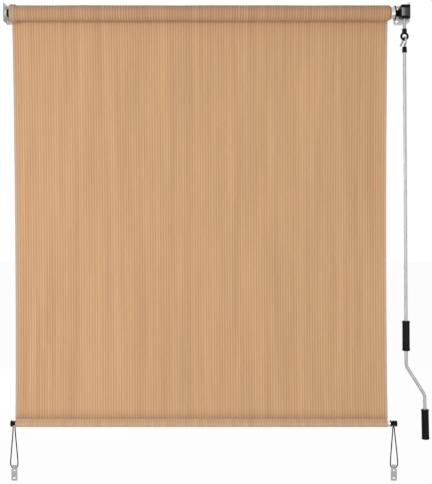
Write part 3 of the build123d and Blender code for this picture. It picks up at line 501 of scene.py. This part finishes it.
def hanging_sheet():
    """The cloth between roll and hem: ribbed on both faces, bowed at its sides and a little wavy."""
    front_u = np.linspace(0, RIBS, SAMPLES_PER_RIB * RIBS + 1)
    back_u = front_u[::-BACK_STRIDE]
    ring_u = np.concatenate([front_u, back_u])
    samples = len(front_u)
    around = len(ring_u)
    is_back = np.arange(around) >= samples
    strip = EDGE_STRIP / rib_pitch
    ribbed = np.minimum(ring_u, RIBS - ring_u) > strip
    ribs = np.where(ribbed, rib_rise(ring_u), STRIP_RISE * RIB_HEIGHT)
    keep = 1 - hem_travel / -sheet_bottom  # share of the cloth's height that is left when it is wound up
    band_top = sheet_bottom + BAND_HEIGHT
    points = []
    uvs = []
    for row in range(SHEET_ROWS + 1):
        down = row / SHEET_ROWS
        z = down * sheet_bottom
        left, right = edge_x(down, -1), edge_x(down, 1)
        x = left + (right - left) * ring_u / RIBS
        set_back = sheet_wave(x, down) + room_for_pile(x, keep * z)
        taper = TOP_THICKNESS + (1 - TOP_THICKNESS) * min(1.0, -z / TOP_TAPER)
        thickness = SHEET_THICKNESS + (BAND_THICKNESS if z < band_top else 0.0)
        front = sheet_low.y + RIB_HEIGHT - ribs + set_back
        back = sheet_low.y + RIB_HEIGHT + thickness * taper + BACK_RIBS * ribs + set_back
        points.append(np.stack([x, np.where(is_back, back, front), np.full(around, z)], axis=1))
        uvs.append(np.stack([ring_u, np.full(around, -z / rib_pitch)], axis=1))
    faces = tube_faces(SHEET_ROWS + 1, around, flip=True)
    single, doubled, right_strip, cut, left_strip = range(5)
    middle_u = (ring_u + np.roll(ring_u, -1)) / 2
    at_sides = [RIBS - middle_u < strip, middle_u < strip]
    slots = []
    for row in range(SHEET_ROWS):
        plain = doubled if (row + 0.5) / SHEET_ROWS * sheet_bottom < band_top else single
        slots += np.select(at_sides, [right_strip, left_strip], plain).tolist()
    # the cut edges at the top and at the bottom, between each front point and the back point behind it
    behind = [samples + min(len(back_u) - 1, (samples - k) // BACK_STRIDE) for k in range(samples)]
    for start, order in ((0, 1), (SHEET_ROWS * around, -1)):
        for k in range(samples - 1):
            corners = dict.fromkeys([start + k, start + k + 1, start + behind[k + 1], start + behind[k]])
            faces.append(tuple(corners)[::order])
            slots.append(cut)
    materials = [CLOTH, CLOTH_DOUBLE, CLOTH_EDGE, CLOTH_CUT, CLOTH_LEFT_EDGE]
    points, uvs = np.concatenate(points), np.concatenate(uvs)
    piece = mesh_piece("cloth_sheet", points, faces, materials, slots, uvs)
    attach(piece, "frame")
    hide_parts("fabric_sheet")
    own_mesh(piece)


def roll_sag(x):
    """How far the roll's surface sinks in along it, in two waves of 48 and 20 cm."""
    return 0.25 * MM * (1 - math.sin(x * 13)) + 0.2 * MM * (1 - math.sin(x * 31 + 1))


def rolled_cloth():
    """The turns left on the tube: ribbed all round, thick at the left hem and stepped at the right."""
    plain, strip, cut = range(3)
    left, right = roll_low.x, roll_high.x
    crest = roll_radius - ROLL_CLEARANCE
    inner = tube_radius + ROLL_CLEARANCE
    profile = []  # places along the roll with a radius and a material number
    for turn in range(int((crest + ROLL_EDGE_RISE - inner) / LAYER)):
        for depth, share in TURN_EDGE:
            profile.append((left + depth, inner + (turn + share) * LAYER, cut))
    even_start = left + 0.4 * MM
    even = right - left - ROLL_STEPS
    columns = int(COLUMNS_PER_RIB * even / rib_pitch)
    for column in range(columns + 1):
        x = even_start + even * column / columns
        ribs = float(rib_rise((x - fabric_left) / rib_pitch))
        pile = end_pile(x, ROLL_EDGE_WIDTH)
        radius = crest - RIB_HEIGHT + ribs + ROLL_EDGE_RISE * pile - roll_sag(x) * (1 - pile)
        profile.append((x, radius, strip if x < left + ROLL_EDGE_WIDTH else plain))
    first_step = right - ROLL_STEPS + 0.5 * MM
    last_step = right - 0.1 * MM
    steps = int((crest - inner) / LAYER)
    step = (last_step - first_step) / steps
    for turn in range(steps):
        for along, drop in STEP_EDGE:
            slot = plain if drop < 0.5 else cut
            profile.append((first_step + (turn + along) * step, crest - (turn + drop) * LAYER, slot))
    profile.append((right - 0.5 * MM, inner, cut))
    points = []
    uvs = []
    for x, radius, _ in profile:
        spiral = STEP_SPIRAL if x > right - ROLL_STEPS else 0.0
        for k in range(ROLL_AROUND):
            angle = 2 * math.pi * k / ROLL_AROUND
            reach = radius * (1 - spiral * k / ROLL_AROUND)
            points.append((x, roller_y + reach * math.sin(angle), reach * math.cos(angle)))
            uvs.append(((x - fabric_left) / rib_pitch, angle * crest / rib_pitch))
    faces = tube_faces(len(profile), ROLL_AROUND, flip=True)
    slots = [slot for _, _, slot in profile[:-1] for _ in range(ROLL_AROUND)]
    # the roll's two cloth materials carry painted shade, darker than the hanging cloth's
    piece = mesh_piece("roll_cloth_painted_shade", points, faces, [ROLL_CLOTH_PAINTED_SHADE, ROLL_EDGE_CLOTH_PAINTED_SHADE, CLOTH_CUT], slots, uvs)
    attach(piece, "roller")
    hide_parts("fabric_roll")


def pocket_ring(x, radius, ribs, rise):
    """Points and UV pairs of one ring of the pocket, whose upper half draws in and up to the seam."""
    points = []
    uvs = []
    reach = radius - RIB_HEIGHT + ribs
    for k in range(POCKET_AROUND):
        angle = 2 * math.pi * k / POCKET_AROUND  # from the top, towards the room
        y, z = -math.sin(angle), math.cos(angle)
        pinch = max(0.0, z) ** 3
        seam_y = math.copysign(SEAM_HALF, y) if abs(y) > 1e-6 else 0.0
        depth = y * reach * (1 - pinch) + seam_y * pinch
        height = z * reach + pinch * (SEAM_RISE - reach) * rise
        points.append((x, hem_y + depth, hem_z + height))
        uvs.append(((x - fabric_left) / rib_pitch, angle * radius / rib_pitch))
    return points, uvs


def hem_pocket():
    """The sewn pocket round the bottom bar, open at both ends."""
    outside, inside = range(2)
    left, right = sleeve_low.x, sleeve_high.x
    columns = int(COLUMNS_PER_RIB * (right - left) / rib_pitch)
    stations = []
    for column in range(columns + 1):
        x = left + (right - left) * column / columns
        stations.append((x, POCKET_RADIUS, float(rib_rise((x - fabric_left) / rib_pitch)), 1.0))
    for x in (right, left):
        stations.append((x, POCKET_RADIUS - POCKET_WALL, 0.0, INNER_RISE))
    points = []
    uvs = []
    for station in stations:
        ring_points, ring_uvs = pocket_ring(*station)
        points += ring_points
        uvs += ring_uvs
    faces = tube_faces(len(stations), POCKET_AROUND, flip=True)
    slots = [outside] * (columns * POCKET_AROUND) + [inside] * (2 * POCKET_AROUND)
    # the cut edge at the left end, from the inside's last ring to the outside's first
    last = (len(stations) - 1) * POCKET_AROUND
    for k in range(POCKET_AROUND):
        following = (k + 1) % POCKET_AROUND
        faces.append((following, k, last + k, last + following))
        slots.append(inside)
    piece = mesh_piece("hem_pocket", points, faces, [CLOTH_HEM, CLOTH_CUT], slots, uvs)
    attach(piece, "hem")
    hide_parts("hem_sleeve")


def seam_stitches():
    """A row of stitches below the pocket's seam, arched towards the room."""
    z = hem_z + SEAM_RISE - STITCH_DROP
    start = Vector((sleeve_low.x + STITCH_INSET, sheet_low.y, z))
    end = Vector((sleeve_high.x - STITCH_INSET, sheet_low.y, z))
    outward = Vector((0, -1, 0))
    run = (end - start).normalized()
    side = run.cross(outward)
    points = []
    faces = []
    for stitch in range(int((end - start).length / STITCH_PITCH)):
        middle = start + run * STITCH_PITCH * (stitch + 0.5)
        first = len(points)
        for along, lift in STITCH_ARCH:
            centre = middle + run * along * STITCH_PITCH * STITCH_SHARE + outward * lift * THREAD
            for k in range(STITCH_CORNERS):
                angle = 2 * math.pi * k / STITCH_CORNERS
                points.append(centre + (side * math.cos(angle) + outward * math.sin(angle)) * THREAD / 2)
        faces += [tuple(first + i for i in face) for face in tube_faces(len(STITCH_ARCH), STITCH_CORNERS)]
        last = len(points) - STITCH_CORNERS
        faces.append(tuple(first + k for k in range(STITCH_CORNERS))[::-1])
        faces.append(tuple(last + k for k in range(STITCH_CORNERS)))
    piece = mesh_piece("seam_stitches", points, faces, [SEWING])
    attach(piece, "hem")


# Elastic loops

def elastic_loop(side, spread):
    """An elastic band over the groove of one side's cap and through its clip's notches."""
    cap_low, cap_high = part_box(f"{side}_hem_cap")
    groove_x = (bar_low.x + cap_low.x) / 2 if side == "left" else (bar_high.x + cap_high.x) / 2
    cap_middle = Vector((groove_x, hem_y, hem_z))
    curve = bpy.data.curves.new(f"elastic_{side}", "CURVE")
    curve.dimensions = "3D"
    curve.resolution_u = 12
    curve.bevel_depth = 1.0  # so that each point's radius is the cord's own
    curve.bevel_resolution = 5
    curve.use_fill_caps = True
    spline = curve.splines.new("NURBS")
    points = [cap_middle + Vector(offset) * MM for offset in loop_route(spread)]
    spline.points.add(len(points) - 1)
    for target, point in zip(spline.points, points):
        target.co = (*point, 1)
        target.radius = CORD_DIAMETER / 2  # the curve's box grows by this, so it isn't left at 1
    spline.order_u = 3
    spline.use_endpoint_u = True
    curve.materials.append(ELASTIC)
    piece = bpy.data.objects.new(f"elastic_{side}", curve)
    bpy.context.scene.collection.objects.link(piece)
    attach(piece, "hem")
    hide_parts(f"{side}_elastic_loop")
    route_length(piece)


def route_length(piece):
    """Length of a curve's own line."""
    depth = piece.data.bevel_depth
    piece.data.bevel_depth = 0
    line = bpy.data.meshes.new_from_object(piece.evaluated_get(bpy.context.evaluated_depsgraph_get()))
    piece.data.bevel_depth = depth
    length = 0.0
    for edge in line.edges:
        start, end = (line.vertices[index].co for index in edge.vertices)
        length += (start - end).length
    bpy.data.meshes.remove(line)
    return length


# Camera, light and floor

def set_camera():
    """A level camera square to the wall, shifted to the photograph's frame."""
    lens = bpy.data.cameras.new("camera")
    camera = bpy.data.objects.new("camera", lens)
    bpy.context.scene.collection.objects.link(camera)
    focal_pixels = CAMERA_DISTANCE / (MM_PER_PIXEL * MM)
    longer_side = max(PHOTO_WIDTH, PHOTO_HEIGHT)
    lens.sensor_width = SENSOR
    lens.lens = focal_pixels * SENSOR / longer_side
    lens.shift_x = (PHOTO_WIDTH / 2 - OPTICAL_CENTRE[0]) / longer_side
    lens.shift_y = -(PHOTO_HEIGHT / 2 - OPTICAL_CENTRE[1]) / longer_side
    lens.clip_end = 50
    camera.location = (
        (OPTICAL_CENTRE[0] - PIXEL_OF_ORIGIN[0]) * MM_PER_PIXEL * MM,
        sheet_low.y - CAMERA_DISTANCE,
        (PIXEL_OF_ORIGIN[1] - OPTICAL_CENTRE[1]) * MM_PER_PIXEL * MM,
    )
    camera.rotation_euler = (math.pi / 2, 0, 0)
    bpy.context.scene.camera = camera
    bpy.context.scene.view_settings.view_transform = "Standard"


def area_light(name, location, target, size, power):
    """A rectangular lamp that faces a target."""
    lamp = bpy.data.lights.new(name, "AREA")
    lamp.shape = "RECTANGLE"
    lamp.size, lamp.size_y = size
    lamp.energy = power
    light = bpy.data.objects.new(name, lamp)
    bpy.context.scene.collection.objects.link(light)
    light.location = location
    light.rotation_mode = "QUATERNION"
    light.rotation_quaternion = (Vector(target) - Vector(location)).to_track_quat("-Z", "Y")


def set_light():
    """A pale even room, white to the camera and in reflections, with soft lamps in front and behind."""
    room_strength = 0.49
    seen_strength = 1.0
    world = bpy.data.worlds.new("studio")
    bpy.context.scene.world = world
    world.use_nodes = True
    tree = world.node_tree
    room = tree.nodes["Background"]
    room.inputs["Color"].default_value = (1, 1, 1, 1)
    paths = tree.nodes.new("ShaderNodeLightPath")
    seen = tree.nodes.new("ShaderNodeMath")
    seen.operation = "ADD"
    tree.links.new(paths.outputs["Is Camera Ray"], seen.inputs[0])
    tree.links.new(paths.outputs["Is Glossy Ray"], seen.inputs[1])
    either = tree.nodes.new("ShaderNodeMath")
    either.operation = "MAXIMUM"
    tree.links.new(seen.outputs[0], either.inputs[0])
    tree.links.new(paths.outputs["Is Transmission Ray"], either.inputs[1])
    strength = tree.nodes.new("ShaderNodeMapRange")
    strength.inputs["To Min"].default_value = room_strength
    strength.inputs["To Max"].default_value = seen_strength
    tree.links.new(either.outputs[0], strength.inputs["Value"])
    tree.links.new(strength.outputs[0], room.inputs["Strength"])
    area_light("key", location=(-1.9, -2.6, -0.3), target=(0, 0, -0.6), size=(1.6, 1.6), power=45)
    area_light("fill", location=(1.4, -2.6, -1.0), target=(0, 0, -0.5), size=(1.8, 1.0), power=15)
    area_light("back", location=(-0.6, 3.0, -0.7), target=(0, 0, -0.6), size=(2.0, 1.2), power=34)


def set_floor():
    """A pale floor below the clips that keeps the object's shadow and is nearly white to the camera."""
    half_width = 12
    drop = 0.16
    camera_share = 0.95  # of white in what the camera sees
    clip_low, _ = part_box("left_tie_clip")
    z = clip_low.z - drop
    corners = ((-1, -1), (1, -1), (1, 1), (-1, 1))
    points = [(half_width * x, half_width * y, z) for x, y in corners]
    material = bpy.data.materials.new("floor")
    material.use_nodes = True
    tree = material.node_tree
    tree.nodes.remove(tree.nodes["Principled BSDF"])
    output = tree.nodes["Material Output"]
    paint = tree.nodes.new("ShaderNodeBsdfDiffuse")
    paint.inputs["Color"].default_value = (0.9, 0.9, 0.9, 1)
    glow = tree.nodes.new("ShaderNodeEmission")
    glow.inputs["Color"].default_value = (1, 1, 1, 1)
    paths = tree.nodes.new("ShaderNodeLightPath")
    share = tree.nodes.new("ShaderNodeMath")
    share.operation = "MULTIPLY"
    share.inputs[1].default_value = camera_share
    tree.links.new(paths.outputs["Is Camera Ray"], share.inputs[0])
    mix = tree.nodes.new("ShaderNodeMixShader")
    tree.links.new(share.outputs[0], mix.inputs[0])
    tree.links.new(paint.outputs[0], mix.inputs[1])
    tree.links.new(glow.outputs[0], mix.inputs[2])
    tree.links.new(mix.outputs[0], output.inputs["Surface"])
    floor = mesh_piece("floor", points, [(0, 1, 2, 3)], [material])


set_camera()
dress_nodes()
for side, spread in NECK_SPREAD.items():
    elastic_loop(side, spread)
hanging_sheet()
rolled_cloth()
hem_pocket()
seam_stitches()
set_light()
set_floor()
